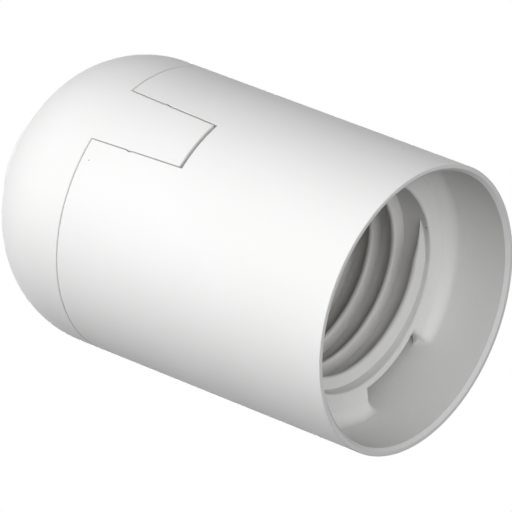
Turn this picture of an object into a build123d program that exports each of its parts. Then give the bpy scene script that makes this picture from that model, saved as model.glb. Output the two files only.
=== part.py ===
from build123d import *
from math import cos, pi, radians, sin, sqrt
import os

# Screw lamp holder with a smooth shell and a domed cap that clips on. Millimetres.
# It stands on the rim of its mouth: the origin is the middle of that rim, and +Z runs to the dome.
# The two tongues of the cap lie on the X axis, and the two terminals on the Y axis.

os.makedirs("parts", exist_ok=True)

# Outer shell
shell_d = 38.0
shell_wall = 1.0
shell_h = 42.8
rim_chamfer = 0.43
edge_round = 0.12

# Ledge between the skirt and the lamp sleeve, open behind each tongue
ledge_z = 9.1
ledge_t = 1.5
ledge_fillet = 0.5
ledge_end_round = 0.7
pocket_half_angle = 19.0

# Lamp sleeve and its right-handed thread, size 27
thread_pitch = 3.629
thread_root_d = 27.6
thread_crest_d = 24.5
thread_start_angle = 124.0
thread_start_rise = 1.38
ridge_base_w = 1.3
ridge_crest_w = 0.7
ridge_crest_round = 0.3
ridge_sink = 0.5
ridge_runout_angle = 26.0
ridge_runout_mid_share = 0.55
ridge_runout_tip_share = 0.02
sleeve_wall = 0.9
sleeve_mouth_round = 0.25
bore_behind_thread = 5.99

# Tongues of the cap, and the notches of the shell that they lie in
tongue_l = 14.0
tongue_t = 1.4
tongue_end_w = 7.3
tongue_root_w = 8.4
tongue_side_gap = 0.15
tongue_end_gap = 0.5
nib_r = 0.7
nib_proud = 0.08
nib_gap = 0.2
nib_from_root = 6.0
hook_h = 1.2
hook_reach = 0.7
hook_w = 6.0
hook_ramp = 0.4
catch_t = 0.85
catch_w = 5.5
catch_gap = 0.3
catch_drop = 0.1
catch_below_end = 0.036

# Cap
cap_wall = 1.3
cap_straight = 3.5
shoulder_r = 13.0
seam_gap = 0.1
lip_t = 1.0
lip_gap = 0.3
lip_drop = 2.4
lip_rise = 1.7
collar_r = 9.5
collar_rise = 1.7
collar_round = 0.4
boss_r = 8.0
boss_drop = 8.5
hold_rib_w = 1.4
hold_rib_reach = 1.5
hold_rib_rise = 4.0
hold_rib_gap = 0.2
hold_rib_count = 4

# Threaded bush for the M10 x 1 tube, and its locking screw
tube_minor_r = 4.459
bush_wall = 1.75
bush_fit = 0.05
bush_sink = 0.3
bush_lead = 0.5
bush_flange_reach = 1.2
bush_flange_t = 0.8
lock_screw_d = 3.0
lock_screw_l = 5.0
lock_screw_rise = 3.6
lock_screw_chamfer = 0.4
lock_slot_w = 0.5
lock_slot_depth = 0.8

# Contact carrier
carrier_t = 3.0
carrier_edge_gap = 0.6
carrier_spigot_h = 1.0
carrier_spigot_gap = 0.4
carrier_flat_gap = 0.4
key_w = 2.0
key_reach = 1.2
key_gap = 0.2
key_end_gap = 0.9
divider_t = 1.6
divider_h = 7.0
divider_l = 24.0
cell_wall = 1.2
cell_h = 4.2
cell_gap = 0.6
wall_round = 0.4

# Contact strips
strip_t = 0.6
strip_bend_r = 0.7
strip_slot_gap = 0.3
centre_leg_y = 2.1
centre_leaf_drop = 1.0
centre_contact_drop = 2.3
centre_leaf_reach = 3.4
centre_leaf_curl = 1.2
side_leg_gap = 1.6
side_leaf_drop = 1.1
side_contact_drop = 2.5
side_leaf_l = 3.9
side_contact_reach = 0.9

# Terminals, one on each strip
terminal_edge = 3.3
nut_w = 5.2
nut_t = 2.0
nut_gap = 0.15
screw_d = 3.5
screw_l = 6.0
screw_fit = 0.05
screw_hole_gap = 0.2
screw_tip_chamfer = 0.4
screw_head_d = 6.2
screw_head_h = 2.1
screw_head_round = 0.6
screw_slot_w = 0.9
screw_slot_depth = 1.1
plate_w = 6.6
plate_t = 1.0
plate_lip_w = 0.45
plate_lip_drop = 0.5
plate_lip_gap = 0.15
plate_rivet_gap = 0.15
plate_corner = 0.8
washer_d = 5.8
washer_t = 0.8
washer_split = 0.5

# Rivets that hold the strips to the carrier
rivet_y = 3.9
rivet_d = 1.5
rivet_head_d = 2.1
rivet_head_h = 0.45
rivet_fit = 0.05
rivet_edge = 1.5

# Worked out from the sizes above
shell_r = shell_d / 2
bore_r = shell_r - shell_wall
root_r = thread_root_d / 2
crest_r = thread_crest_d / 2
sleeve_r = root_r + sleeve_wall
tongue_end_z = shell_h - tongue_l
hook_r = shell_r - tongue_t - hook_reach
catch_r = hook_r - catch_gap
catch_z = tongue_end_z + hook_h + catch_drop
sleeve_top_z = catch_z + catch_t + catch_below_end
thread_start_z = ledge_z + thread_start_rise
thread_h = sleeve_top_z - thread_start_z - bore_behind_thread
spigot_z = sleeve_top_z - carrier_spigot_h
carrier_top_z = sleeve_top_z + carrier_t
carrier_r = bore_r - carrier_edge_gap
key_r = bore_r - key_reach
cap_base_z = shell_h + seam_gap
lip_r = bore_r - lip_gap
lip_bottom_z = shell_h - lip_drop
lip_top_z = cap_base_z + lip_rise
key_top_z = lip_bottom_z - key_end_gap
hold_rib_mid_r = lip_r - (lip_t + hold_rib_reach) / 2
shoulder_z = shell_h + cap_straight
dome_centre_r = shell_r - shoulder_r
dome_top_z = shoulder_z + shoulder_r
inner_shoulder_r = shoulder_r - cap_wall
boss_z = dome_top_z - boss_drop
bush_r = tube_minor_r + bush_wall
bush_bore_r = bush_r + bush_fit
lock_screw_z = boss_z + lock_screw_rise
lock_screw_y = tube_minor_r + bush_fit
strip_mid_z = carrier_top_z + strip_t / 2
strip_top_z = carrier_top_z + strip_t
strip_w = plate_w - 2 * (plate_lip_w + plate_lip_gap)
terminal_y = rivet_y + rivet_head_d / 2 + plate_rivet_gap + plate_w / 2
side_leg_y = root_r - side_leg_gap
washer_z = strip_top_z + plate_t
head_z = washer_z + washer_t
screw_hole_r = screw_d / 2 + screw_hole_gap
far = 2 * shell_d

TERMINALS = {"live": 1, "neutral": -1}
RUNOUT_STEPS = (
    (1, 0),
    (ridge_runout_mid_share, ridge_runout_angle / 2),
    (ridge_runout_tip_share, ridge_runout_angle),
)


def dome_z(radius, across):
    """Height of a dome arc of this radius, where it is this far from the axis."""
    return shoulder_z + sqrt(radius ** 2 - (across - dome_centre_r) ** 2)


def save(part, name):
    """Labels one finished piece and writes it to its own file."""
    part.label = name
    export_step(part, f"parts/{name}.step")


# Thread ridge, built from angle 0 and turned to its start afterwards


def ridge_plane(angle):
    """Plane across the helix at this angle, with its X towards the axis."""
    around = radians(angle)
    outward = Vector(cos(around), sin(around), 0)
    along = Vector(-sin(around), cos(around), thread_pitch / (2 * pi * root_r))
    place = outward * root_r + Vector(0, 0, thread_start_z + thread_pitch * angle / 360)
    return Plane(origin=place, x_dir=-outward, z_dir=along)


def ridge_outline(share):
    """Corners of the ridge's section at this share of its full height, with its foot in the wall."""
    height = share * (root_r - crest_r)
    crest = share * ridge_crest_w / 2
    slope = (ridge_base_w - ridge_crest_w) / 2 / (root_r - crest_r)
    foot = crest + slope * (height + ridge_sink)
    return [(-ridge_sink, -foot), (height, -crest), (height, crest), (-ridge_sink, foot)]


with BuildPart() as ridge:
    with BuildLine(Plane.XY.offset(thread_start_z)) as thread_path:
        Helix(pitch=thread_pitch, height=thread_h, radius=root_r)
    with BuildSketch(ridge_plane(0)) as ridge_section:
        with BuildLine():
            Polyline(ridge_outline(1), close=True)
        make_face()
        fillet(ridge_section.vertices().group_by(Axis.X)[-1], ridge_crest_round)
    sweep(path=thread_path.line, is_frenet=True)

# The ridge starts as a wedge that rises out of the sleeve's wall

with BuildPart() as runout:
    for share, angle in RUNOUT_STEPS:
        with BuildSketch(ridge_plane(-angle)) as runout_section:
            with BuildLine():
                Polyline(ridge_outline(share), close=True)
            make_face()
            fillet(runout_section.vertices().group_by(Axis.X)[-1], ridge_crest_round * share)
    loft()


# Tongues of the cap, and the notches that they lie in


def tongue_outline(gap, end_z, top_z):
    """Tapered outline of a tongue, or of its notch when gap is its clearance, across Y and up Z."""
    end_half = tongue_end_w / 2 + gap
    root_half = tongue_root_w / 2 + gap
    return [
        (-end_half, end_z), (end_half, end_z), (root_half, shell_h),
        (root_half, top_z), (-root_half, top_z), (-root_half, shell_h),
    ]


def nib_places():
    """Middles of the two nibs on the edges of a tongue."""
    taper = (tongue_root_w - tongue_end_w) / 2 / tongue_l
    across = tongue_root_w / 2 - taper * nib_from_root - nib_r + nib_proud
    return [(side * across, shell_h - nib_from_root) for side in (-1, 1)]


with BuildPart() as tongues:
    with BuildSketch(Plane.XY.offset(tongue_end_z)):
        Circle(shell_r)
        Circle(shell_r - tongue_t, mode=Mode.SUBTRACT)
    extrude(amount=lip_top_z - tongue_end_z)
    with BuildSketch(Plane.YZ):
        with BuildLine():
            Polyline(tongue_outline(0, tongue_end_z, lip_top_z), close=True)
        make_face()
        with Locations(nib_places()):
            Circle(nib_r)
    extrude(amount=far, both=True, mode=Mode.INTERSECT)

with BuildPart() as notches:
    with BuildSketch(Plane.XY.offset(tongue_end_z - tongue_end_gap)):
        Circle(far)
        Circle(bore_r - shell_wall / 2, mode=Mode.SUBTRACT)
    extrude(amount=far)
    with BuildSketch(Plane.YZ):
        with BuildLine():
            Polyline(tongue_outline(tongue_side_gap, tongue_end_z - tongue_end_gap, far), close=True)
        make_face()
        with Locations(nib_places()):
            Circle(nib_r + nib_gap)
    extrude(amount=far, both=True, mode=Mode.INTERSECT)


# Outer shell: skirt, ledge and threaded lamp sleeve in one moulding

ledge_end_angle = radians(pocket_half_angle)
ledge_end_line = Vector(cos(ledge_end_angle), sin(ledge_end_angle), 0)
ledge_end_plane = Plane(
    origin=ledge_end_line * root_r + Vector(0, 0, ledge_z),
    x_dir=(-sin(ledge_end_angle), cos(ledge_end_angle), 0),
    z_dir=ledge_end_line,
)

with BuildPart() as ledge_ends:
    with BuildSketch(ledge_end_plane):
        with Locations((ledge_end_round / 2, (ledge_end_round - ledge_fillet) / 2)):
            Rectangle(ledge_end_round, ledge_end_round + ledge_fillet)
        with Locations((ledge_end_round, ledge_end_round)):
            Circle(ledge_end_round, mode=Mode.SUBTRACT)
    extrude(amount=bore_r - root_r)
    mirror(about=Plane.XZ)
    mirror(about=Plane.YZ)
    with BuildSketch(Plane.XY.offset(ledge_z - ledge_fillet)):
        Circle(bore_r)
        Circle(sleeve_r, mode=Mode.SUBTRACT)
    extrude(amount=ledge_fillet + ledge_t, mode=Mode.INTERSECT)

with BuildPart() as outer_shell:
    with BuildSketch(Plane.XZ) as shell_section:
        with BuildLine():
            Polyline(
                (shell_r, 0), (shell_r, shell_h), (bore_r, shell_h), (bore_r, ledge_z + ledge_t),
                (sleeve_r, ledge_z + ledge_t), (sleeve_r, sleeve_top_z), (root_r, sleeve_top_z),
                (root_r, ledge_z), (bore_r, ledge_z), (bore_r, rim_chamfer),
                (bore_r + rim_chamfer, 0), close=True,
            )
        make_face()
        fillet(shell_section.vertices().sort_by_distance((bore_r, ledge_z))[0], ledge_fillet)
        fillet(shell_section.vertices().sort_by_distance((root_r, ledge_z))[0], sleeve_mouth_round)
        fillet(shell_section.vertices().group_by(Axis.X)[-1], edge_round)
    revolve(axis=Axis.Z)
    # The ledge is open behind each tongue, where the mould reaches through to the catch
    with BuildSketch(Plane.XY.offset(ledge_z - ledge_fillet)):
        with BuildLine():
            wedge_x = far * cos(ledge_end_angle)
            wedge_y = far * sin(ledge_end_angle)
            Polyline((0, 0), (wedge_x, wedge_y), (wedge_x, -wedge_y), close=True)
        make_face()
        mirror(about=Plane.YZ)
        Circle(bore_r, mode=Mode.INTERSECT)
        Circle(sleeve_r, mode=Mode.SUBTRACT)
    extrude(amount=ledge_fillet + ledge_t, mode=Mode.SUBTRACT)
    add(ledge_ends.part, mode=Mode.SUBTRACT)
    # Catches for the hooks, on the outside of the sleeve
    with BuildSketch(Plane.XY.offset(catch_z)):
        Rectangle(2 * catch_r, catch_w)
        Circle((root_r + sleeve_r) / 2, mode=Mode.SUBTRACT)
    extrude(amount=catch_t)
    # Keys that stop the carrier from turning
    with BuildSketch(Plane.XY.offset(ledge_z + ledge_t / 2)):
        Rectangle(key_w, 2 * bore_r + shell_wall)
        Circle(key_r, mode=Mode.SUBTRACT)
    extrude(amount=key_top_z - ledge_z - ledge_t / 2)
    add(notches.part, mode=Mode.SUBTRACT)
    add(ridge.part.rotate(Axis.Z, thread_start_angle))
    add(runout.part.rotate(Axis.Z, thread_start_angle))

save(outer_shell.part, "outer_shell")


# Cap: dome, locating lip, tongues, hold-down ribs and the boss for the tube's bush

with BuildPart() as cap:
    collar_base_z = dome_z(shoulder_r, collar_r)
    collar_top_z = collar_base_z + collar_rise
    boss_top_z = dome_z(inner_shoulder_r, boss_r)
    outer_arc_mid = dome_centre_r + shoulder_r * cos(pi / 4)
    inner_arc_mid = dome_centre_r + inner_shoulder_r * cos(pi / 4)
    with BuildSketch(Plane.XZ) as cap_section:
        with BuildLine():
            Line((lip_r, cap_base_z), (shell_r, cap_base_z))
            Line((shell_r, cap_base_z), (shell_r, shoulder_z))
            ThreePointArc((shell_r, shoulder_z), (outer_arc_mid, dome_z(shoulder_r, outer_arc_mid)),
                          (collar_r, collar_base_z))
            Polyline(
                (collar_r, collar_base_z), (collar_r, collar_top_z), (bush_bore_r, collar_top_z),
                (bush_bore_r, boss_z), (boss_r, boss_z), (boss_r, boss_top_z),
            )
            ThreePointArc((boss_r, boss_top_z), (inner_arc_mid, dome_z(inner_shoulder_r, inner_arc_mid)),
                          (shell_r - cap_wall, shoulder_z))
            Polyline(
                (shell_r - cap_wall, shoulder_z), (lip_r, lip_top_z), (lip_r - lip_t, lip_top_z - lip_t),
                (lip_r - lip_t, lip_bottom_z), (lip_r, lip_bottom_z), (lip_r, cap_base_z),
            )
        make_face()
        fillet(cap_section.vertices().sort_by_distance((collar_r, collar_top_z))[0], collar_round)
        fillet(cap_section.vertices().sort_by_distance((shell_r, cap_base_z))[0], edge_round)
    revolve(axis=Axis.Z)
    add(tongues.part)
    # Hooks on the inner face of the tongues
    with BuildSketch(Plane.XZ) as hook_section:
        with BuildLine():
            hook_back = shell_r - tongue_t / 2
            Polyline(
                (hook_r, tongue_end_z + hook_ramp), (hook_r + hook_ramp, tongue_end_z),
                (hook_back, tongue_end_z), (hook_back, tongue_end_z + hook_h),
                (hook_r, tongue_end_z + hook_h), close=True,
            )
        make_face()
        mirror(about=Plane.YZ)
    extrude(amount=hook_w / 2, both=True)
    # Ribs that hold the carrier down on the sleeve
    with BuildSketch(Plane.XY.offset(carrier_top_z + hold_rib_gap)):
        with PolarLocations(hold_rib_mid_r, hold_rib_count, 180 / hold_rib_count):
            Rectangle(hold_rib_reach, hold_rib_w)
    extrude(amount=shoulder_z + hold_rib_rise - carrier_top_z)
    # Hole for the locking screw, through the boss
    with BuildSketch(Plane.XZ):
        with Locations((0, lock_screw_z)):
            Circle(lock_screw_d / 2 + screw_fit)
    extrude(amount=-boss_r - lock_screw_d / 2, mode=Mode.SUBTRACT)

save(cap.part, "cap")


# Threaded bush for the tube, and the screw that locks the tube in it

with BuildPart() as tube_bush:
    with BuildSketch(Plane.XZ) as bush_section:
        with BuildLine():
            bush_top_z = collar_top_z - bush_sink
            flange_z = boss_z - bush_flange_t
            flange_r = bush_r + bush_flange_reach
            Polyline(
                (tube_minor_r, flange_z + bush_lead), (tube_minor_r + bush_lead, flange_z),
                (flange_r, flange_z), (flange_r, boss_z), (bush_r, boss_z), (bush_r, bush_top_z),
                (tube_minor_r + bush_lead, bush_top_z), (tube_minor_r, bush_top_z - bush_lead),
                close=True,
            )
        make_face()
    revolve(axis=Axis.Z)
    with BuildSketch(Plane.XZ):
        with Locations((0, lock_screw_z)):
            Circle(lock_screw_d / 2 + screw_fit)
    extrude(amount=-boss_r, mode=Mode.SUBTRACT)

save(tube_bush.part, "tube_bush")

with BuildPart() as bush_lock_screw:
    with BuildSketch(Plane.XZ.offset(-lock_screw_y)):
        with Locations((0, lock_screw_z)):
            Circle(lock_screw_d / 2)
    extrude(amount=-lock_screw_l)
    chamfer(bush_lock_screw.edges().group_by(Axis.Y)[0], lock_screw_chamfer)
    with Locations((0, lock_screw_y + lock_screw_l, lock_screw_z)):
        Box(lock_screw_d, 2 * lock_slot_depth, lock_slot_w, mode=Mode.SUBTRACT)

save(bush_lock_screw.part, "bush_lock_screw")


# Contact carrier: insulating disc with a divider and two open terminal cells

with BuildPart() as contact_carrier:
    cell_outer_y = terminal_y + plate_w / 2 + cell_gap
    cell_wall_x = plate_w / 2 + cell_gap + cell_wall / 2
    cell_wall_l = cell_outer_y - divider_t / 2
    with BuildSketch(Plane.XY.offset(sleeve_top_z)):
        Circle(carrier_r)
        Rectangle(2 * (hook_r - carrier_flat_gap), far, mode=Mode.INTERSECT)
        with Locations((0, key_r + far / 2 - key_gap), (0, -key_r - far / 2 + key_gap)):
            Rectangle(key_w + 2 * key_gap, far, mode=Mode.SUBTRACT)
    extrude(amount=carrier_t)
    with BuildSketch(Plane.XY.offset(spigot_z)):
        Circle(root_r - carrier_spigot_gap)
    extrude(amount=carrier_spigot_h)
    with BuildSketch(Plane.XY.offset(carrier_top_z)):
        Rectangle(divider_l, divider_t)
    extrude(amount=divider_h)
    with BuildSketch(Plane.XY.offset(carrier_top_z)):
        with GridLocations(2 * cell_wall_x, divider_t + cell_wall_l, 2, 2):
            Rectangle(cell_wall, cell_wall_l)
    extrude(amount=cell_h)
    upright_edges = contact_carrier.edges().filter_by(Axis.Z)
    fillet(upright_edges.filter_by_position(Axis.Z, carrier_top_z, far), wall_round)
    # Pockets for the nuts, holes for the screws and rivets, and slots for the legs of the strips
    with BuildSketch(Plane.XY.offset(carrier_top_z)):
        with Locations((0, terminal_y), (0, -terminal_y)):
            Rectangle(nut_w + 2 * nut_gap, nut_w + 2 * nut_gap)
    extrude(amount=-nut_t, mode=Mode.SUBTRACT)
    with BuildSketch(Plane.XY.offset(spigot_z)):
        with Locations((0, terminal_y), (0, -terminal_y)):
            Circle(screw_hole_r)
        with Locations((0, rivet_y), (0, -rivet_y)):
            Circle(rivet_d / 2 + rivet_fit)
        with Locations((0, centre_leg_y), (0, -side_leg_y)):
            Rectangle(strip_w + 2 * strip_slot_gap, strip_t + 2 * strip_slot_gap)
    extrude(amount=carrier_spigot_h + carrier_t, mode=Mode.SUBTRACT)

save(contact_carrier.part, "contact_carrier")


# Contact strips, each one folded sprung strip with its terminal pad at the outer end


def folded_strip(points, bends, side):
    """One strip folded along these points of its middle line, with its two holes on this side."""
    with BuildPart() as strip:
        with BuildSketch(Plane.YZ):
            with BuildLine() as middle:
                FilletPolyline(points, radius=bends)
            trace(middle.line, strip_t)
        extrude(amount=strip_w / 2, both=True)
        with BuildSketch(Plane.XY.offset(strip_top_z)):
            with Locations((0, side * terminal_y)):
                Circle(screw_hole_r)
            with Locations((0, side * rivet_y)):
                Circle(rivet_d / 2 + rivet_fit)
        extrude(amount=-strip_t, mode=Mode.SUBTRACT)
    return strip.part


centre_strip_line = [
    (terminal_y + terminal_edge, strip_mid_z),
    (centre_leg_y, strip_mid_z),
    (centre_leg_y, spigot_z - centre_leaf_drop),
    (0, spigot_z - centre_contact_drop),
    (-centre_leaf_reach, spigot_z - centre_leaf_curl),
]
save(folded_strip(centre_strip_line, strip_bend_r, 1), "centre_contact")

side_strip_line = [
    (-rivet_y + rivet_edge, strip_mid_z),
    (-side_leg_y, strip_mid_z),
    (-side_leg_y, spigot_z - side_leaf_drop),
    (-side_leg_y + side_contact_reach, spigot_z - side_contact_drop),
    (-side_leg_y, spigot_z - side_leaf_l),
]
save(folded_strip(side_strip_line, strip_bend_r, -1), "side_contact")


# Terminals: nut under the strip, clamp plate, spring washer and screw above it

for name, side in TERMINALS.items():
    with BuildPart() as nut:
        with BuildSketch(Plane((0, side * terminal_y, carrier_top_z - nut_t))):
            Rectangle(nut_w, nut_w)
            Circle(screw_d / 2 + screw_fit, mode=Mode.SUBTRACT)
        extrude(amount=nut_t)
    save(nut.part, f"{name}_nut")

    with BuildPart() as plate:
        with BuildSketch(Plane((0, side * terminal_y, strip_top_z))) as plate_sketch:
            Rectangle(plate_w, plate_w)
            fillet(plate_sketch.vertices(), plate_corner)
            Circle(screw_hole_r, mode=Mode.SUBTRACT)
        extrude(amount=plate_t)
        with BuildSketch(Plane((0, side * terminal_y, strip_top_z))):
            with Locations(((plate_w - plate_lip_w) / 2, 0), ((plate_lip_w - plate_w) / 2, 0)):
                Rectangle(plate_lip_w, plate_w - 2 * plate_corner)
        extrude(amount=-plate_lip_drop)
    save(plate.part, f"{name}_clamp_plate")

    with BuildPart() as washer:
        with BuildSketch(Plane((0, side * terminal_y, washer_z))):
            Circle(washer_d / 2)
            Circle(screw_hole_r, mode=Mode.SUBTRACT)
            with Locations((washer_d / 2, 0)):
                Rectangle(washer_d, washer_split, mode=Mode.SUBTRACT)
        extrude(amount=washer_t)
    save(washer.part, f"{name}_spring_washer")

    with BuildPart() as screw:
        with BuildSketch(Plane.XZ) as screw_section:
            with BuildLine():
                Polyline(
                    (0, head_z - screw_l), (screw_d / 2 - screw_tip_chamfer, head_z - screw_l),
                    (screw_d / 2, head_z - screw_l + screw_tip_chamfer), (screw_d / 2, head_z),
                    (screw_head_d / 2, head_z), (screw_head_d / 2, head_z + screw_head_h),
                    (0, head_z + screw_head_h), close=True,
                )
            make_face()
            head_corner = (screw_head_d / 2, head_z + screw_head_h)
            fillet(screw_section.vertices().sort_by_distance(head_corner)[0], screw_head_round)
        revolve(axis=Axis.Z)
        with Locations((0, 0, head_z + screw_head_h)):
            Box(screw_head_d, screw_slot_w, 2 * screw_slot_depth, mode=Mode.SUBTRACT)
    save(screw.part.moved(Location((0, side * terminal_y, 0))), f"{name}_terminal_screw")

for name, side in (("centre", 1), ("side", -1)):
    with BuildPart() as rivet:
        with BuildSketch(Plane.XZ):
            with BuildLine():
                Polyline(
                    (0, spigot_z - rivet_head_h), (rivet_head_d / 2, spigot_z - rivet_head_h),
                    (rivet_head_d / 2, spigot_z), (rivet_d / 2, spigot_z), (rivet_d / 2, strip_top_z),
                    (rivet_head_d / 2, strip_top_z), (rivet_head_d / 2, strip_top_z + rivet_head_h),
                    (0, strip_top_z + rivet_head_h), close=True,
                )
            make_face()
        revolve(axis=Axis.Z)
    save(rivet.part.moved(Location((0, side * rivet_y, 0))), f"{name}_rivet")
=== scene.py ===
# %% [markdown]
# # A screw lamp holder, dressed
#
# The holder comes from its engineering model: a smooth white shell with a skirt round the
# threaded sleeve, and a domed cap that two tongues hold on. Here it gets its finishes, the fine
# screw threads that the model leaves out, and a plain white studio. Every length is in metres,
# and the holder stands on its mouth at the origin, dome up.

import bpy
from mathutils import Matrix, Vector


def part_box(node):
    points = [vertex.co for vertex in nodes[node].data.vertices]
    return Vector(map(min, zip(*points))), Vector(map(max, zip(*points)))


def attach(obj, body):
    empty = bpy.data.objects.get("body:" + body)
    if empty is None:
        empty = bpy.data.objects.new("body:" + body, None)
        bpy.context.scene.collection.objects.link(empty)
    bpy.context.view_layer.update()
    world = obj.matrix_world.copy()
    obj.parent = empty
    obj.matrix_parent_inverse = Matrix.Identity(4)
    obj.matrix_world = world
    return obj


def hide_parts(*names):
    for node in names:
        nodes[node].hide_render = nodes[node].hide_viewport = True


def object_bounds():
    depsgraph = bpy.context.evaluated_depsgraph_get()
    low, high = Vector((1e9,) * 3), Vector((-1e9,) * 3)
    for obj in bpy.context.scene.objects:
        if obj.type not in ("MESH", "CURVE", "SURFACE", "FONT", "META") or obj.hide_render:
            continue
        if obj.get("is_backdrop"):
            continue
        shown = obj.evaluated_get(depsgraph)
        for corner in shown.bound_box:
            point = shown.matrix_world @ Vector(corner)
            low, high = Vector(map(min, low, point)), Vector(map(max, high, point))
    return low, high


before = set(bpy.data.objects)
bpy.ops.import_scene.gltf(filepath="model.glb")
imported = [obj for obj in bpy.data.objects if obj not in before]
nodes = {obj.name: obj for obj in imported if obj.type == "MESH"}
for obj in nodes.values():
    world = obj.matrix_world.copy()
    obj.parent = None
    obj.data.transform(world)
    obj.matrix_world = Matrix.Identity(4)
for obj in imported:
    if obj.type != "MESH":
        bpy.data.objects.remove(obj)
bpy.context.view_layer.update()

from math import cos, radians, sin, sqrt, tau

import bmesh
import bpy
from mathutils import Matrix, Vector

MM = 0.001
print("pieces of the frame:", ", ".join(sorted(nodes)))

# %% [markdown]
# ## The camera
#
# The photograph looks up into the mouth with a long lens, and the picture is rolled, so that the
# holder seems to lie on its side. Turning the camera instead of the holder keeps it standing on
# its rim, which is how it rests. The direction is written as on a turntable: an angle round the
# holder, an angle below the horizon, and the roll about the line of sight.

# %% Camera
VIEW_ROUND = radians(60.40)
VIEW_BELOW = radians(34.985)
VIEW_ROLL = radians(68.82)
CAMERA_PLACE = Vector((0.62540, -0.35631, -0.47799))
SENSOR = 36.0
LENS = 491.08


def view_axes():
    """Right, up and back directions of the camera, for the photograph's view."""
    level = Vector((sin(VIEW_ROUND), -cos(VIEW_ROUND), 0))
    back = level * cos(VIEW_BELOW) - Vector((0, 0, sin(VIEW_BELOW)))
    straight_up = (Vector((0, 0, 1)) - back * back.z).normalized()
    up = Matrix.Rotation(-VIEW_ROLL, 3, back) @ straight_up
    return up.cross(back), up, back


view_right, view_up, view_back = view_axes()
camera = bpy.data.objects.new("camera", bpy.data.cameras.new("camera"))
camera.data.sensor_width = SENSOR
camera.data.lens = LENS
turn = Matrix((view_right, view_up, view_back)).transposed()
camera.matrix_world = Matrix.Translation(CAMERA_PLACE) @ turn.to_4x4()
bpy.context.scene.collection.objects.link(camera)
bpy.context.scene.camera = camera
print("camera right", tuple(round(v, 4) for v in view_right), "up", tuple(round(v, 4) for v in view_up))

# %% [markdown]
# ## Tools for node trees
#
# A finish is a tree of small nodes, and so is the white world round the holder. Written out by
# hand each tree is long, so a few helpers keep it short: one adds a node with its settings and
# inputs, one does arithmetic, one lays a colour over another, one moves a value from one range to
# another, and one starts a new finish.

# %% Node helpers
def add(tree, kind, values=None, **settings):
    """A shader node of this kind, with its settings, and its inputs set or linked."""
    made = tree.nodes.new("ShaderNode" + kind)
    for name, value in settings.items():
        setattr(made, name, value)
    for socket, value in (values or {}).items():
        if isinstance(value, bpy.types.NodeSocket):
            tree.links.new(value, made.inputs[socket])
        else:
            made.inputs[socket].default_value = value
    return made


def sum_of(tree, operation, first, second=0.0, third=0.0):
    """The result of one piece of arithmetic on up to three values."""
    return add(tree, "Math", {0: first, 1: second, 2: third}, operation=operation).outputs[0]


def over(tree, share, under, above):
    """The colour above laid over the colour under, by this share."""
    return add(tree, "Mix", {0: share, 6: under, 7: above}, data_type="RGBA").outputs[2]


def ramp(tree, value, start, end, low=0.0, high=1.0):
    """The value moved from the range start to end into the range low to high."""
    sockets = {"Value": value, "From Min": start, "From Max": end, "To Min": low, "To Max": high}
    return add(tree, "MapRange", sockets, clamp=True).outputs["Result"]


def new_finish(name):
    """An empty finish, its tree and its surface."""
    finish = bpy.data.materials.new(name)
    finish.use_nodes = True
    return finish, finish.node_tree, finish.node_tree.nodes["Principled BSDF"]


print("node helpers:", ", ".join(tool.__name__ for tool in (add, sum_of, over, ramp, new_finish)))

# %% [markdown]
# ## White all round
#
# The holder was photographed on pure white. The world shows plain white to the camera, and to
# glossy and clear surfaces, while the light that it gives to the holder is weaker and set by
# itself. That keeps the background white without bleaching the plastic.

# %% World
AMBIENT = 0.02
PURE_WHITE = (1, 1, 1, 1)

bpy.context.scene.view_settings.view_transform = "Standard"
world = bpy.data.worlds.new("white studio")
world.use_nodes = True
bpy.context.scene.world = world
tree = world.node_tree
tree.nodes.clear()
rays = add(tree, "LightPath").outputs
seen = sum_of(tree, "MAXIMUM", rays["Is Camera Ray"], rays["Is Glossy Ray"])
seen_or_clear = sum_of(tree, "MAXIMUM", seen, rays["Is Transmission Ray"])
light = add(tree, "Background", {"Color": PURE_WHITE, "Strength": AMBIENT}).outputs[0]
white = add(tree, "Background", {"Color": PURE_WHITE, "Strength": 1.0}).outputs[0]
mix = add(tree, "MixShader", {0: seen_or_clear, 1: light, 2: white}).outputs[0]
add(tree, "OutputWorld", {"Surface": mix})
print("world:", world.name, "lights the holder at", AMBIENT)

# %% [markdown]
# ## Floor
#
# A pale floor carries the holder in the views from above. The photograph's view comes from below
# it, so the floor's underside is clear, and it neither shades nor tints what stands on it. It
# fades out at some distance, where the white of the world takes over. It lies a hair below the
# rim, because two surfaces in exactly the same plane leave dark spots.

# %% Floor
FLOOR_HALF = 1.5
FLOOR_FADE_FROM = 0.12
FLOOR_FADE_TO = 0.9
FLOOR_BELOW = 0.05 * MM
PAPER = (0.9, 0.9, 0.9, 1)
PAPER_ROUGHNESS = 0.9
PAPER_SPECULAR = 0.1
SQUARE = ((-1, -1), (1, -1), (1, 1), (-1, 1))

corners = [(x * FLOOR_HALF, y * FLOOR_HALF, -FLOOR_BELOW) for x, y in SQUARE]
floor_mesh = bpy.data.meshes.new("floor")
floor_mesh.from_pydata(corners, [], [(0, 1, 2, 3)])
floor = bpy.data.objects.new("floor", floor_mesh)
bpy.context.scene.collection.objects.link(floor)
floor.visible_diffuse = False
floor.visible_shadow = False
paper, tree, surface = new_finish("pale floor")
surface.inputs["Base Color"].default_value = PAPER
surface.inputs["Roughness"].default_value = PAPER_ROUGHNESS
surface.inputs["Specular IOR Level"].default_value = PAPER_SPECULAR
geometry = add(tree, "NewGeometry").outputs
span = add(tree, "VectorMath", {0: geometry["Position"]}, operation="LENGTH").outputs["Value"]
fade_range = {"Value": span, "From Min": FLOOR_FADE_FROM, "From Max": FLOOR_FADE_TO}
fade = add(tree, "MapRange", fade_range, interpolation_type="SMOOTHSTEP").outputs["Result"]
gone = sum_of(tree, "MAXIMUM", geometry["Backfacing"], fade)
clear = add(tree, "BsdfTransparent").outputs[0]
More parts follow.
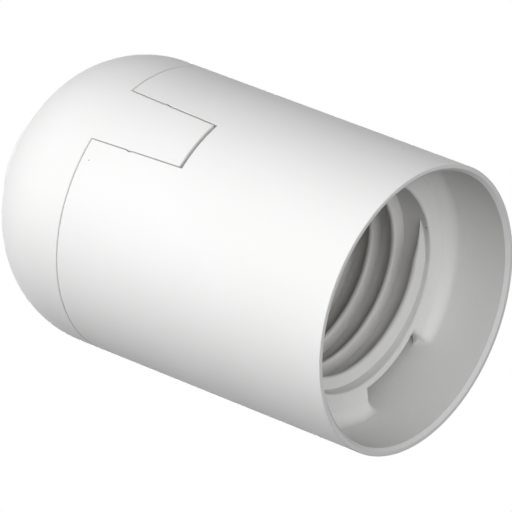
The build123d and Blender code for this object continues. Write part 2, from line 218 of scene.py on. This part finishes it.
mix = add(tree, "MixShader", {0: gone, 1: surface.outputs[0], 2: clear}).outputs[0]
tree.links.new(mix, tree.nodes["Material Output"].inputs["Surface"])
floor_mesh.materials.append(paper)
floor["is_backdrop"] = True
print("floor:", 2 * FLOOR_HALF, "m wide,", FLOOR_BELOW / MM, "mm below the rim")

# %% [markdown]
# ## Lamps
#
# The photograph is lit by broad soft light from the camera's side, strongest from its upper left:
# the shell is white along its left front and falls away to grey on both sides, and the ledge in
# the mouth is a light grey. Six large lamps on the camera's side give that, each named by where
# it stands as the camera sees it. Their strengths were found by rendering the holder under each
# lamp alone and adding those pictures up until they matched, with hardly anything brighter than
# white, so that the plastic keeps its tone. A small one straight behind lights the far side,
# which the photograph doesn't show: a broad one there reaches round the holder and washes out its
# edges. There is hardly any light from all round, which is why both long edges fall away to grey.

# %% Lamps
LAMP_AWAY = 0.6
BROAD = 0.5
SMALL = 0.15
# Each lamp: where it stands as the camera sees it (right, up, back), its size, its watts.
LAMPS = {
    "front": ((0, 0, 1), BROAD, 0.99),
    "left": ((-0.62, 0, 0.79), BROAD, 0.27),
    "right": ((0.62, 0, 0.79), BROAD, 1.43),
    "upper left": ((-0.31, 0.53, 0.79), BROAD, 0.59),
    "far left": ((-0.95, 0, 0.31), BROAD, 2.36),
    "far upper left": ((-0.48, 0.82, 0.31), BROAD, 1.19),
    "behind": ((0, 0, -1), SMALL, 3.0),
}
low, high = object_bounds()
middle = (low + high) / 2


def softbox(name, direction, size, watts):
    """A square lamp at this direction from the holder, facing it."""
    data = bpy.data.lights.new(name, "AREA")
    data.shape = "SQUARE"
    data.size = size
    data.energy = watts
    lamp = bpy.data.objects.new(name, data)
    direction = direction.normalized()
    lamp.location = middle + direction * LAMP_AWAY
    lamp.rotation_mode = "QUATERNION"
    lamp.rotation_quaternion = direction.to_track_quat("Z", "Y")
    bpy.context.scene.collection.objects.link(lamp)


for lamp_name, ((right, up, back), size, watts) in LAMPS.items():
    softbox(lamp_name, view_right * right + view_up * up + view_back * back, size, watts)
print("lamps:", ", ".join(LAMPS))

# %% [markdown]
# ## Groups of nodes
#
# A group is a tree of its own with named inputs and outputs. It is built once and placed in every
# finish that needs it, each time with its own values. One helper opens a group, one links its
# results to its outputs, and one places it.

# %% Groups
def open_group(name, inputs, outputs):
    """A new group with these inputs and their values, these outputs, and its two end nodes."""
    group = bpy.data.node_groups.new(name, "ShaderNodeTree")
    for label, value in inputs.items():
        kind = "NodeSocketVector" if value is None else "NodeSocketFloat"
        socket = group.interface.new_socket(label, in_out="INPUT", socket_type=kind)
        if value is not None:
            socket.default_value = value
    for label in outputs:
        group.interface.new_socket(label, in_out="OUTPUT", socket_type="NodeSocketFloat")
    return group, group.nodes.new("NodeGroupInput").outputs, group.nodes.new("NodeGroupOutput").inputs


def place(tree, group, values):
    """The outputs of a group placed in a tree with these values."""
    used = tree.nodes.new("ShaderNodeGroup")
    used.node_tree = group
    for label, value in values.items():
        if isinstance(value, bpy.types.NodeSocket):
            tree.links.new(value, used.inputs[label])
        else:
            used.inputs[label].default_value = value
    return used.outputs


def close(group, outputs, results):
    """Links the results of a group to its outputs."""
    for label, result in results.items():
        group.links.new(result, outputs[label])
    print("group", group.name, "gives", ", ".join(results))


print("group helpers:", open_group.__name__, place.__name__, close.__name__)

# %% [markdown]
# ## The skin of a moulding
#
# Moulded plastic is never quite smooth. It carries the fine grain of the polished steel that it
# was pressed against, and it sinks a little where the wall behind it changes, which makes slow
# waves in a highlight. Two noises of very different sizes give both, measured in metres on the
# piece itself. A third one, slower still, tells where the plastic is a shade duller.

# %% Moulded skin
SLOW_SHARE = 0.45
MOTTLE_RANGE = (0.3, 0.7)

SKIN, skin_in, skin_out = open_group(
    "moulded skin",
    {"Grain Size": 0.25 * MM, "Wave Size": 9 * MM, "Wave Share": 0.75},
    ("Height", "Mottle"),
)
on_piece = add(SKIN, "TexCoord").outputs["Object"]
grain_scale = sum_of(SKIN, "DIVIDE", 1.0, skin_in["Grain Size"])
wave_scale = sum_of(SKIN, "DIVIDE", 1.0, skin_in["Wave Size"])
slow_scale = sum_of(SKIN, "MULTIPLY", wave_scale, SLOW_SHARE)
grain, wave, slow = (
    add(SKIN, "TexNoise", {"Vector": on_piece, "Scale": scale, "Detail": detail}).outputs[0]
    for scale, detail in ((grain_scale, 2.0), (wave_scale, 0.0), (slow_scale, 3.0))
)
grain_share = sum_of(SKIN, "SUBTRACT", 1.0, skin_in["Wave Share"])
wave_part = sum_of(SKIN, "MULTIPLY", wave, skin_in["Wave Share"])
close(SKIN, skin_out, {
    "Height": sum_of(SKIN, "MULTIPLY_ADD", grain, grain_share, wave_part),
    "Mottle": ramp(SKIN, slow, *MOTTLE_RANGE),
})

# %% [markdown]
# ## Edges and corners
#
# Hands rub an edge smooth and bright, and corners are given painted shade. The Bevel node gives
# the normal that a slightly rounded edge would have: where it turns away from the true normal
# there is an edge. Ambient Occlusion counts how much of the sky a point sees: over a short reach
# that finds the corners, where shade is painted, and over a long one the deep inside of the sleeve,
# which is painted darker than the open skirt. The second is kept to what lies near the axis, so
# that it leaves the seams of the cap alone.

# %% Edges and corners
EDGE_RANGE = (0.99, 0.75)
# How little sky the deep sleeve must see to take painted shade.
SLEEVE_SHADE_RANGE = (0.32, 0.0)
SKY_SAMPLES = 6
EDGE_SAMPLES = 4

EDGES, edges_in, edges_out = open_group(
    "edges and corners",
    {
        "Edge Width": 0.2 * MM,
        "Corner Reach": 3 * MM,
        "Cavity Reach": 30 * MM,
        "Cavity Radius": 14.2 * MM,
    },
    ("Edge", "Corner", "Cavity"),
)
rounded = add(EDGES, "Bevel", {"Radius": edges_in["Edge Width"]}, samples=EDGE_SAMPLES).outputs[0]
true_normal = add(EDGES, "NewGeometry").outputs["Normal"]
both = {0: rounded, 1: true_normal}
agree = add(EDGES, "VectorMath", both, operation="DOT_PRODUCT").outputs["Value"]
seen, far_seen = (
    add(EDGES, "AmbientOcclusion", {"Distance": edges_in[reach]}, samples=SKY_SAMPLES).outputs["AO"]
    for reach in ("Corner Reach", "Cavity Reach")
)
on_piece = add(EDGES, "TexCoord").outputs["Object"]
flat = add(EDGES, "VectorMath", {0: on_piece, 1: (1, 1, 0)}, operation="MULTIPLY").outputs[0]
off_axis = add(EDGES, "VectorMath", {0: flat}, operation="LENGTH").outputs["Value"]
in_sleeve = sum_of(EDGES, "LESS_THAN", off_axis, edges_in["Cavity Radius"])
close(EDGES, edges_out, {
    "Edge": ramp(EDGES, agree, *EDGE_RANGE),
    # The corner and the sleeve's depth give painted shade, taken from ambient occlusion.
    "Corner": sum_of(EDGES, "SUBTRACT", 1.0, seen),
    "Cavity": sum_of(EDGES, "MULTIPLY", ramp(EDGES, far_seen, *SLEEVE_SHADE_RANGE), in_sleeve),
})

# %% [markdown]
# ## Specks
#
# A few dark specks show in the white of the photograph, each about a fifth of a millimetre: dust,
# or a grain of burnt plastic from the press. Voronoi cells scatter points through space. Only a
# point that lies next to the surface shows there, so the specks are rare and don't line up.

# %% Specks
SPECKS, specks_in, specks_out = open_group(
    "specks", {"Spacing": 3.5 * MM, "Speck Size": 0.1 * MM, "Share": 0.3}, ("Speck",)
)
cell_scale = sum_of(SPECKS, "DIVIDE", 1.0, specks_in["Spacing"])
on_piece = add(SPECKS, "TexCoord").outputs["Object"]
cells = add(SPECKS, "TexVoronoi", {"Vector": on_piece, "Scale": cell_scale}).outputs
away = sum_of(SPECKS, "MULTIPLY", cells["Distance"], specks_in["Spacing"])
near = sum_of(SPECKS, "LESS_THAN", away, specks_in["Speck Size"])
chance = add(SPECKS, "SeparateColor", {0: cells["Color"]}).outputs[0]
chosen = sum_of(SPECKS, "LESS_THAN", chance, specks_in["Share"])
close(SPECKS, specks_out, {"Speck": sum_of(SPECKS, "MULTIPLY", near, chosen)})

# %% [markdown]
# ## Tool marks
#
# Rolled strip has fine lines along the roll, and a turned screw has rings left by the tool. Both
# are a noise that is drawn out along one direction. The finish hands over the coordinates,
# already drawn out, and the group makes the lines, and the broader stains of plating that has
# aged a little.

# %% Tool marks
STAIN_RANGE = (0.35, 0.7)

MARKS, marks_in, marks_out = open_group(
    "tool marks", {"Vector": None, "Spacing": 0.12 * MM, "Stain Size": 2 * MM}, ("Line", "Stain")
)
line_scale = sum_of(MARKS, "DIVIDE", 1.0, marks_in["Spacing"])
line_noise = {"Vector": marks_in["Vector"], "Scale": line_scale, "Detail": 3.0}
lines = add(MARKS, "TexNoise", line_noise).outputs[0]
stain_scale = sum_of(MARKS, "DIVIDE", 1.0, marks_in["Stain Size"])
on_piece = add(MARKS, "TexCoord").outputs["Object"]
stain_noise = {"Vector": on_piece, "Scale": stain_scale, "Detail": 4.0}
stains = add(MARKS, "TexNoise", stain_noise).outputs[0]
close(MARKS, marks_out, {"Line": lines, "Stain": ramp(MARKS, stains, *STAIN_RANGE)})

# %% [markdown]
# ## White plastic
#
# The shell and the cap are moulded in the same white thermoplastic, with a satin skin that shows
# no sharp highlight. A white that is exactly even looks like paper, so the tone drifts by a few
# hundredths and takes a few specks. Painted shade makes it a little warmer and greyer in the
# corners of the thread, and darker deep inside the sleeve. The carrier is a harder plastic that
# stands the lamp's heat: creamier, and quite matt.

# %% Plastics
ROUNDING_SAMPLES = 6


def soft_edges(tree, radius, height, depth):
    """The normal of a surface with its edges rounded by this radius and this height laid on it."""
    rounded = add(tree, "Bevel", {"Radius": radius}, samples=ROUNDING_SAMPLES).outputs[0]
    bump = add(tree, "Bump", {"Strength": 1.0, "Distance": depth, "Height": height, "Normal": rounded})
    return bump.outputs["Normal"]


# The tone of the painted shade deep inside the sleeve.
SLEEVE_SHADE_TONE = (0.42, 0.41, 0.39, 1)
SPECK_TONE = (0.13, 0.12, 0.11, 1)
# How much painted shade goes into the corners of a plastic.
CORNER_SHADE_SHARE = 0.6
# How much painted shade goes deep inside the sleeve.
SLEEVE_SHADE_SHARE = 0.8
SPECK_SHARE = 0.8
GLOSSIER, DULLER = -0.03, 0.05
EDGE_POLISH = -0.1
PLASTIC_IOR = 1.45
PLASTIC_SPECULAR = 0.25


def moulded(name, tone, drift, corner, roughness, skin_depth, edge_radius):
    """A moulded plastic: its tone, the tone that it drifts to, its painted corner shade, and its gloss.
    """
    finish, tree, surface = new_finish(name)
    skin = place(tree, SKIN, {})
    edges = place(tree, EDGES, {"Edge Width": 0.15 * MM, "Corner Reach": 3 * MM})
    speck = place(tree, SPECKS, {})["Speck"]
    colour = over(tree, skin["Mottle"], tone, drift)
    # Painted shade: a darker, warmer tone in the corners.
    colour = over(tree, sum_of(tree, "MULTIPLY", edges["Corner"], CORNER_SHADE_SHARE), colour, corner)
    # Painted shade: a dark tone deep inside the sleeve.
    sleeve_shade = sum_of(tree, "MULTIPLY", edges["Cavity"], SLEEVE_SHADE_SHARE)
    colour = over(tree, sleeve_shade, colour, SLEEVE_SHADE_TONE)
    colour = over(tree, sum_of(tree, "MULTIPLY", speck, SPECK_SHARE), colour, SPECK_TONE)
    gloss = ramp(tree, skin["Mottle"], 0.0, 1.0, roughness + GLOSSIER, roughness + DULLER)
    gloss = sum_of(tree, "MULTIPLY_ADD", edges["Edge"], EDGE_POLISH, gloss)
    tree.links.new(colour, surface.inputs["Base Color"])
    tree.links.new(gloss, surface.inputs["Roughness"])
    normal = soft_edges(tree, edge_radius, skin["Height"], skin_depth)
    tree.links.new(normal, surface.inputs["Normal"])
    surface.inputs["IOR"].default_value = PLASTIC_IOR
    surface.inputs["Specular IOR Level"].default_value = PLASTIC_SPECULAR
    return finish


WHITE = (0.87, 0.87, 0.867, 1)
WHITE_DRIFT = (0.85, 0.85, 0.845, 1)
# The corner tone is painted shade.
WHITE_CORNER_SHADE = (0.72, 0.71, 0.68, 1)
CREAM = (0.78, 0.76, 0.70, 1)
CREAM_DRIFT = (0.74, 0.72, 0.66, 1)
# The carrier's corner tone is painted shade.
CREAM_CORNER_SHADE = (0.5, 0.47, 0.41, 1)

WHITES = (WHITE, WHITE_DRIFT, WHITE_CORNER_SHADE)
CREAMS = (CREAM, CREAM_DRIFT, CREAM_CORNER_SHADE)

# After the tones: roughness, depth of the skin and radius of the edges.
shell_white = moulded("shell white", *WHITES, 0.55, 0.012 * MM, 0.12 * MM)
cap_white = moulded("cap white", *WHITES, 0.53, 0.012 * MM, 0.3 * MM)
carrier_cream = moulded("carrier cream", *CREAMS, 0.68, 0.03 * MM, 0.15 * MM)
print("plastics:", shell_white.name, cap_white.name, carrier_cream.name)

# %% [markdown]
# ## Metals
#
# The contacts are sprung brass strip, rolled along its length, and the rivets are plain brass.
# The nuts, clamps and washers are pressed steel with a thin bright zinc plating, and the screws
# and the bush are turned. They share one recipe with two sets of coordinates: along the strip, or
# round the piece's own axis as rings. Plating is brighter on worn edges, and its corners get
# painted shade in the same darker tone as its stains.

# %% Metals
BRIGHTER = 1.15
STAIN_SHARE = 0.5
# How much painted shade goes into the corners of a metal.
METAL_SHADE_SHARE = 0.5
LINE_RANGE = (0.3, 0.7)
LINE_SMOOTH, LINE_ROUGH = -0.06, 0.1
STAIN_ROUGH = 0.08
METAL_EDGE = 0.06 * MM
MARK_DEPTH = 0.004 * MM


def along(tree, stretch):
    """Coordinates drawn out along Y, for strip that was rolled that way."""
    on_piece = add(tree, "TexCoord").outputs["Object"]
    return add(tree, "Mapping", {"Vector": on_piece, "Scale": (1, 1 / stretch, 1)}).outputs[0]


def round_axis(tree, place_of_axis, up):
    """Coordinates that change only away from an axis and along it, for rings left by a lathe."""
    on_piece = add(tree, "TexCoord").outputs["Object"]
    offset = {0: on_piece, 1: place_of_axis}
    from_axis = add(tree, "VectorMath", offset, operation="SUBTRACT").outputs[0]
    rise = {0: from_axis, 1: up}
    height = add(tree, "VectorMath", rise, operation="DOT_PRODUCT").outputs["Value"]
    flat = tuple(1.0 - part for part in up)
    across = add(tree, "VectorMath", {0: from_axis, 1: flat}, operation="MULTIPLY").outputs[0]
    away = add(tree, "VectorMath", {0: across}, operation="LENGTH").outputs["Value"]
    return add(tree, "CombineXYZ", {0: away, 1: height}).outputs[0]


def metal(name, tone, stain_and_shade, roughness, coordinates):
    """A plated or plain metal with tool marks that follow these coordinates."""
    finish, tree, surface = new_finish(name)
    sizes = {"Spacing": 0.1 * MM, "Stain Size": 1.5 * MM}
    marks = place(tree, MARKS, {"Vector": coordinates(tree), **sizes})
    edges = place(tree, EDGES, {"Edge Width": 0.1 * MM, "Corner Reach": 1.5 * MM})
    bright = tuple(min(1.0, part * BRIGHTER) for part in tone[:3]) + (1,)
    colour = over(tree, sum_of(tree, "MULTIPLY", marks["Stain"], STAIN_SHARE), tone, stain_and_shade)
    # Painted shade: the corners take the darker tone.
    colour = over(tree, sum_of(tree, "MULTIPLY", edges["Corner"], METAL_SHADE_SHARE), colour, stain_and_shade)
    colour = over(tree, edges["Edge"], colour, bright)
    gloss = ramp(tree, marks["Line"], *LINE_RANGE, roughness + LINE_SMOOTH, roughness + LINE_ROUGH)
    gloss = sum_of(tree, "MULTIPLY_ADD", marks["Stain"], STAIN_ROUGH, gloss)
    tree.links.new(colour, surface.inputs["Base Color"])
    tree.links.new(gloss, surface.inputs["Roughness"])
    normal = soft_edges(tree, METAL_EDGE, marks["Line"], MARK_DEPTH)
    tree.links.new(normal, surface.inputs["Normal"])
    surface.inputs["Metallic"].default_value = 1.0
    return finish


def axis_of(node):
    """The middle of a node, which its axis goes through."""
    near_corner, far_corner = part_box(node)
    return (near_corner + far_corner) / 2


BRASS = (0.80, 0.62, 0.32, 1)
# The second tone of each metal serves its stains and the painted shade in its corners.
BRASS_STAIN_AND_SHADE = (0.55, 0.38, 0.17, 1)
ZINC = (0.70, 0.71, 0.72, 1)
ZINC_STAIN_AND_SHADE = (0.47, 0.47, 0.45, 1)
UPWARDS = (0.0, 0.0, 1.0)
SIDEWAYS = (0.0, 1.0, 0.0)

ROLLED_LONG = 30
PRESSED_LONG = 4
HOLDER_AXIS = (0, 0, 0)
BRASSES = (BRASS, BRASS_STAIN_AND_SHADE)
ZINCS = (ZINC, ZINC_STAIN_AND_SHADE)

strip_brass = metal("strip brass", *BRASSES, 0.3, lambda tree: along(tree, ROLLED_LONG))
pressed_zinc = metal("pressed zinc", *ZINCS, 0.34, lambda tree: along(tree, PRESSED_LONG))
bush_zinc = metal("bush zinc", *ZINCS, 0.3, lambda tree: round_axis(tree, HOLDER_AXIS, UPWARDS))


def turned_finish(name, tone, stain_and_shade, roughness, node, up):
    """A metal with rings round this node's own axis."""
    centre = tuple(axis_of(node))
    return metal(name, tone, stain_and_shade, roughness, lambda tree: round_axis(tree, centre, up))


FINISHES = {
    "outer_shell": shell_white,
    "cap": cap_white,
    "contact_carrier": carrier_cream,
    "centre_contact": strip_brass,
    "side_contact": strip_brass,
    "tube_bush": bush_zinc,
    "bush_lock_screw": turned_finish("lock screw zinc", *ZINCS, 0.28, "bush_lock_screw", SIDEWAYS),
}
for rivet in ("centre_rivet", "side_rivet"):
    FINISHES[rivet] = turned_finish(rivet + " brass", *BRASSES, 0.36, rivet, UPWARDS)
for terminal in ("live", "neutral"):
    screw = f"{terminal}_terminal_screw"
    FINISHES[screw] = turned_finish(screw + " zinc", *ZINCS, 0.27, screw, UPWARDS)
    for part in ("nut", "clamp_plate", "spring_washer"):
        FINISHES[f"{terminal}_{part}"] = pressed_zinc
for node, finish in FINISHES.items():
    for slot in nodes[node].material_slots:
        slot.material = finish
print("finished nodes:", len(FINISHES), "of", len(nodes))

# %% [markdown]
# ## From points to a piece
#
# The pieces that are made here are swept or turned: rows of points joined by faces. Where two
# rows meet, points fall on one another and are joined, and all faces are turned to look outwards.
# A piece is then smoothed, except at edges that are meant to be sharp.

# %% Piece helpers
MERGE = 0.001 * MM


def piece_of(name, shape):
    """An object in the scene that is made of this shape."""
    bmesh.ops.remove_doubles(shape, verts=shape.verts, dist=MERGE)
    bmesh.ops.recalc_face_normals(shape, faces=shape.faces)
    mesh = bpy.data.meshes.new(name)
    shape.to_mesh(mesh)
    shape.free()
    piece = bpy.data.objects.new(name, mesh)
    bpy.context.scene.collection.objects.link(piece)
    return piece


def smooth(piece, sharp_from, finish):
    """Smooths a piece except at edges of this many degrees or more, and gives it its finish."""
    for face in piece.data.polygons:
        face.use_smooth = True
    piece.data.set_sharp_from_angle(angle=radians(sharp_from))
    piece.data.materials.clear()
    piece.data.materials.append(finish)
    print(piece.name, "has", len(piece.data.polygons), "faces")


print("piece helpers:", piece_of.__name__, smooth.__name__)

# %% [markdown]
# ## The blend between ledge and skirt
#
# In the photograph the ledge in the mouth doesn't meet the skirt at a corner. It runs into it in
# a wide, soft hollow, a little brighter than the flats on either side, which fades out in a
# rounded lobe at each pocket. The engineering model has a small fillet there, so the wide one is
# a piece of its own: its section is a quarter of an ellipse that touches the ledge and the skirt
# without a step, and it is swept round each half of the ledge. At the ends it follows the ledge's
# rounded edge and turns the corner between the ledge's end and the skirt with a hollow of its
# own. Its back is sunk in the moulding.

# %% Section of the blend
BORE_R = 18.0 * MM
LEDGE_Z = 9.1 * MM
LEDGE_END_ANGLE = 19.0
LEDGE_END_ROUND = 0.7 * MM
BLEND_ACROSS = 1.8 * MM
BLEND_ALONG = 1.3 * MM
BLEND_FADE = 2.2 * MM
CORNER_R = 1.3 * MM
BLEND_SINK = 0.2 * MM
BLEND_BACK = 1.4 * MM
ARC_STEPS = 12
FADE_STEPS = 24
RUN_STEPS = 60
END_SLOPE = 0.4
BLEND_SHARP = 40


def blend_size(inside):
    """Reach across the ledge, reach along the skirt and drop of its edge, this far inside the end."""
    if inside >= BLEND_FADE:
        return BLEND_ACROSS, BLEND_ALONG, 0.0
    part = (inside + CORNER_R) / (BLEND_FADE + CORNER_R)
    along = BLEND_ALONG * sqrt(max(0.0, 1 - (1 - part) ** 2))
    if inside >= 0:
        short = max(0.0, LEDGE_END_ROUND - inside)
        drop = LEDGE_END_ROUND - sqrt(LEDGE_END_ROUND ** 2 - short ** 2)
        return CORNER_R + (BLEND_ACROSS - CORNER_R) * inside / BLEND_FADE, along, drop
    across = CORNER_R - sqrt(max(0.0, CORNER_R ** 2 - (CORNER_R + inside) ** 2))
    return across, along, LEDGE_END_ROUND - END_SLOPE * inside


def blend_section(inside):
    """Distance from the axis and height of the blend's outline, this far inside the ledge's end."""
    across, along, drop = blend_size(inside)
    points = []
    for step in range(ARC_STEPS + 1):
        turn = tau / 4 * step / ARC_STEPS
        reach = BORE_R - across * (1 - cos(turn))
        points.append((reach, LEDGE_Z - along + (along + drop) * sin(turn)))
    points.append((BORE_R - across, LEDGE_Z + BLEND_BACK))
    points.append((BORE_R + BLEND_SINK, LEDGE_Z + BLEND_BACK))
    points.append((BORE_R + BLEND_SINK, LEDGE_Z - along))
    return points


def blend_stations():
    """Distances inside the ledge's end for half the ledge, close together at its ends."""
    half_run = BORE_R * radians(90 - LEDGE_END_ANGLE)
    fade_run = BLEND_FADE + CORNER_R
    fade = [-CORNER_R + fade_run * (step / FADE_STEPS) for step in range(FADE_STEPS)]
    full_run = 2 * (half_run - BLEND_FADE)
    run = [BLEND_FADE + full_run * step / RUN_STEPS for step in range(RUN_STEPS + 1)]
    return fade + run + [2 * half_run - inside for inside in reversed(fade)]


stations = blend_stations()
print("the blend's section has", len(blend_section(0)), "points, at", len(stations), "stations")

# %% Blend
shape = bmesh.new()
for half in (0, 180):
    sections = []
    for inside in stations:
        around = radians(LEDGE_END_ANGLE + half) + inside / BORE_R
        from_end = min(inside, stations[0] + stations[-1] - inside)
        outline = blend_section(from_end)
        places = [Vector((reach * cos(around), reach * sin(around), z)) for reach, z in outline]
        sections.append([shape.verts.new(place_at) for place_at in places])
    for section, following in zip(sections, sections[1:]):
        for index in range(len(section)):
            above = (index + 1) % len(section)
            shape.faces.new((section[index], following[index], following[above], section[above]))
    shape.faces.new(sections[0])
    shape.faces.new(sections[-1])
ledge_blend = piece_of("ledge_blend", shape)
smooth(ledge_blend, BLEND_SHARP, shell_white)
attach(ledge_blend, "housing")

# %% [markdown]
# ## Fine threads
#
# The engineering model leaves the bush and the screws smooth at their thread. A screw thread is a
# groove whose height rises by one pitch a turn. So a turned piece is made as rings of points up
# its outline, and on the threaded stretch each point moves in or out by the thread's own profile
# at its angle and height. This gives true threads that close on themselves, without a modifier.
# Each piece takes its place and overall sizes from the node that it stands for.

# %% Outline of a thread
STEPS_PER_PITCH = 12
THREAD_RUN_IN = 1.2
FLANK_SLOPE = 1.3
FLAT_SHARE = 0.15
TURNED_SHARP = 30
SLOT_REACH = 3


def crest(turns):
    """Height of a thread with flats at its top and bottom, from 0 in the groove to 1 on the crest."""
    from_groove = abs(2 * (turns % 1) - 1)
    return min(1.0, max(0.0, FLANK_SLOPE * from_groove - FLAT_SHARE))


def threaded_stretch(radius, start, end, pitch):
    """Outline points of a threaded stretch, with the thread's share growing from its two ends."""
    steps = round(abs(end - start) / pitch * STEPS_PER_PITCH)
    points = []
    for step in range(steps + 1):
        height = start + (end - start) * step / steps
        from_end = min(abs(height - start), abs(end - height)) / (THREAD_RUN_IN * pitch)
        points.append((radius, height, min(1.0, from_end)))
    return points


def plain(*points):
    """Outline points with no thread on them."""
    return [(radius, height, 0.0) for radius, height in points]


print("a thread's crest at a quarter turn:", crest(0.25))


# %% Turned pieces
def lathe(name, outline, pitch, depth, segments, closed):
    """A turned piece about Z. The groove goes this deep, and a negative depth cuts it outwards."""
    shape = bmesh.new()
    rings = []
    for step in range(segments):
        angle = tau * step / segments
        ring = []
        for radius, height, share in outline:
            reach = radius - share * depth * (1 - crest(height / pitch - step / segments))
            ring.append(shape.verts.new((reach * cos(angle), reach * sin(angle), height)))
        rings.append(ring)
    count = len(outline)
    for step in range(segments):
        ring = rings[step]
        following = rings[(step + 1) % segments]
        for index in range(count if closed else count - 1):
            above = (index + 1) % count
            shape.faces.new((ring[index], following[index], following[above], ring[above]))
    return piece_of(name, shape)


def cut_slot(piece, centre, size):
    """Cuts a screwdriver slot of this size out of the piece."""
    block = bmesh.new()
    bmesh.ops.create_cube(block, size=1.0)
    bmesh.ops.scale(block, vec=size, verts=block.verts)
    bmesh.ops.translate(block, vec=centre, verts=block.verts)
    mesh = bpy.data.meshes.new("slot")
    block.to_mesh(mesh)
    block.free()
    cutter = bpy.data.objects.new("slot", mesh)
    bpy.context.scene.collection.objects.link(cutter)
    cut = piece.modifiers.new("slot", "BOOLEAN")
    cut.operation = "DIFFERENCE"
    cut.solver = "EXACT"
    cut.object = cutter
    bpy.context.view_layer.update()
    seen_piece = piece.evaluated_get(bpy.context.evaluated_depsgraph_get())
    piece.data = bpy.data.meshes.new_from_object(seen_piece)
    piece.modifiers.clear()
    bpy.data.objects.remove(cutter)


def fit_in(piece, node, body):
    """Smooths a turned piece, finishes it as its node, and puts it in the node's stead."""
    smooth(piece, TURNED_SHARP, FINISHES[node])
    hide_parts(node)
    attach(piece, body)


# %% [markdown]
# ### The tube's bush
#
# The bush is a short steel tube with a flange at its lower end and an M10 thread of 1 mm pitch
# down its bore. The node's bore is the thread's smallest width, so the grooves go outwards from
# it. The countersink at both ends and the flange come from the node's box and from the
# engineering model's own wall.

# %% Bush
BUSH_BORE = 4.459 * MM
BUSH_WALL = 1.75 * MM
BUSH_COUNTERSINK = 0.5 * MM
BUSH_FLANGE = 0.8 * MM
BUSH_PITCH = 1.0 * MM
BUSH_GROOVE = 0.541 * MM
BUSH_SEGMENTS = 96

bush_low, bush_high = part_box("tube_bush")
flange_r = bush_high.x
wall_r = BUSH_BORE + BUSH_WALL
mouth_r = BUSH_BORE + BUSH_COUNTERSINK
flange_z = bush_low.z + BUSH_FLANGE
bush_outline = plain(
    (mouth_r, bush_high.z), (wall_r, bush_high.z), (wall_r, flange_z),
    (flange_r, flange_z), (flange_r, bush_low.z), (mouth_r, bush_low.z),
)
bush_outline += threaded_stretch(
    BUSH_BORE, bush_low.z + BUSH_COUNTERSINK, bush_high.z - BUSH_COUNTERSINK, BUSH_PITCH
)
bush = lathe("threaded_bush", bush_outline, BUSH_PITCH, -BUSH_GROOVE, BUSH_SEGMENTS, True)
fit_in(bush, "tube_bush", "top_cap")

# %% [markdown]
# ### Terminal screws
#
# Each terminal has a 3.5 mm screw of 0.6 mm pitch with a round-edged head and one slot. The
# thread runs from the tip to just under the head, and it shows under the carrier and between the
# clamp and the nut.

# %% Terminal screws
SCREW_R = 1.75 * MM
SCREW_PITCH = 0.6 * MM
SCREW_GROOVE = 0.32 * MM
SCREW_TIP = 0.4 * MM
SCREW_HEAD = 2.1 * MM
HEAD_ROUND = 0.6 * MM
HEAD_SLOT = (0.9 * MM, 1.1 * MM)
ROUND_STEPS = 6
SCREW_SEGMENTS = 64


def rounded_corner(radius, height, reach):
    """Outline points round the top outer corner of a head."""
    points = []
    for step in range(ROUND_STEPS + 1):
        turn = tau / 4 * step / ROUND_STEPS
        points.append((radius - reach * (1 - cos(turn)), height - reach * (1 - sin(turn))))
    return points


for terminal in ("live", "neutral"):
    node = f"{terminal}_terminal_screw"
    screw_low, screw_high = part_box(node)
    axis = axis_of(node)
    head_r = (screw_high.x - screw_low.x) / 2
    head_z = screw_high.z - SCREW_HEAD
    screw_outline = plain((0, screw_low.z), (SCREW_R - SCREW_TIP, screw_low.z))
    screw_outline += threaded_stretch(SCREW_R, screw_low.z + SCREW_TIP, head_z, SCREW_PITCH)
    head_corner = rounded_corner(head_r, screw_high.z, HEAD_ROUND)
    screw_outline += plain((head_r, head_z), *head_corner, (0, screw_high.z))
    screw_name = f"{terminal}_threaded_screw"
    screw = lathe(screw_name, screw_outline, SCREW_PITCH, SCREW_GROOVE, SCREW_SEGMENTS, False)
    slot_w, slot_deep = HEAD_SLOT
    cut_slot(screw, (0, 0, screw_high.z), (SLOT_REACH * head_r, slot_w, 2 * slot_deep))
    screw.data.transform(Matrix.Translation((axis.x, axis.y, 0)))
    fit_in(screw, node, f"{terminal}_screw")

# %% [markdown]
# ### The locking screw
#
# A headless 3 mm screw of 0.5 mm pitch locks the tube in the bush. It lies along Y in the cap's
# boss, so it is turned about Z as the others are and then laid on its side.

# %% Locking screw
LOCK_PITCH = 0.5 * MM
LOCK_GROOVE = 0.27 * MM
LOCK_CHAMFER = 0.4 * MM
LOCK_SLOT = (0.5 * MM, 0.8 * MM)
LOCK_SEGMENTS = 48

lock_low, lock_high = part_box("bush_lock_screw")
lock_r = (lock_high.z - lock_low.z) / 2
lock_l = lock_high.y - lock_low.y
lock_outline = plain((0, 0), (lock_r - LOCK_CHAMFER, 0))
lock_outline += threaded_stretch(lock_r, LOCK_CHAMFER, lock_l, LOCK_PITCH)
lock_outline += plain((0, lock_l))
lock_screw = lathe(
    "threaded_lock_screw", lock_outline, LOCK_PITCH, LOCK_GROOVE, LOCK_SEGMENTS, False
)
slot_w, slot_deep = LOCK_SLOT
cut_slot(lock_screw, (0, 0, lock_l), (SLOT_REACH * lock_r, slot_w, 2 * slot_deep))
lie_down = Matrix.Rotation(radians(-90), 4, "X")
lock_middle = axis_of("bush_lock_screw")
lock_axis = Vector((lock_middle.x, lock_low.y, lock_middle.z))
lock_screw.data.transform(Matrix.Translation(lock_axis) @ lie_down)
fit_in(lock_screw, "bush_lock_screw", "lock_screw")
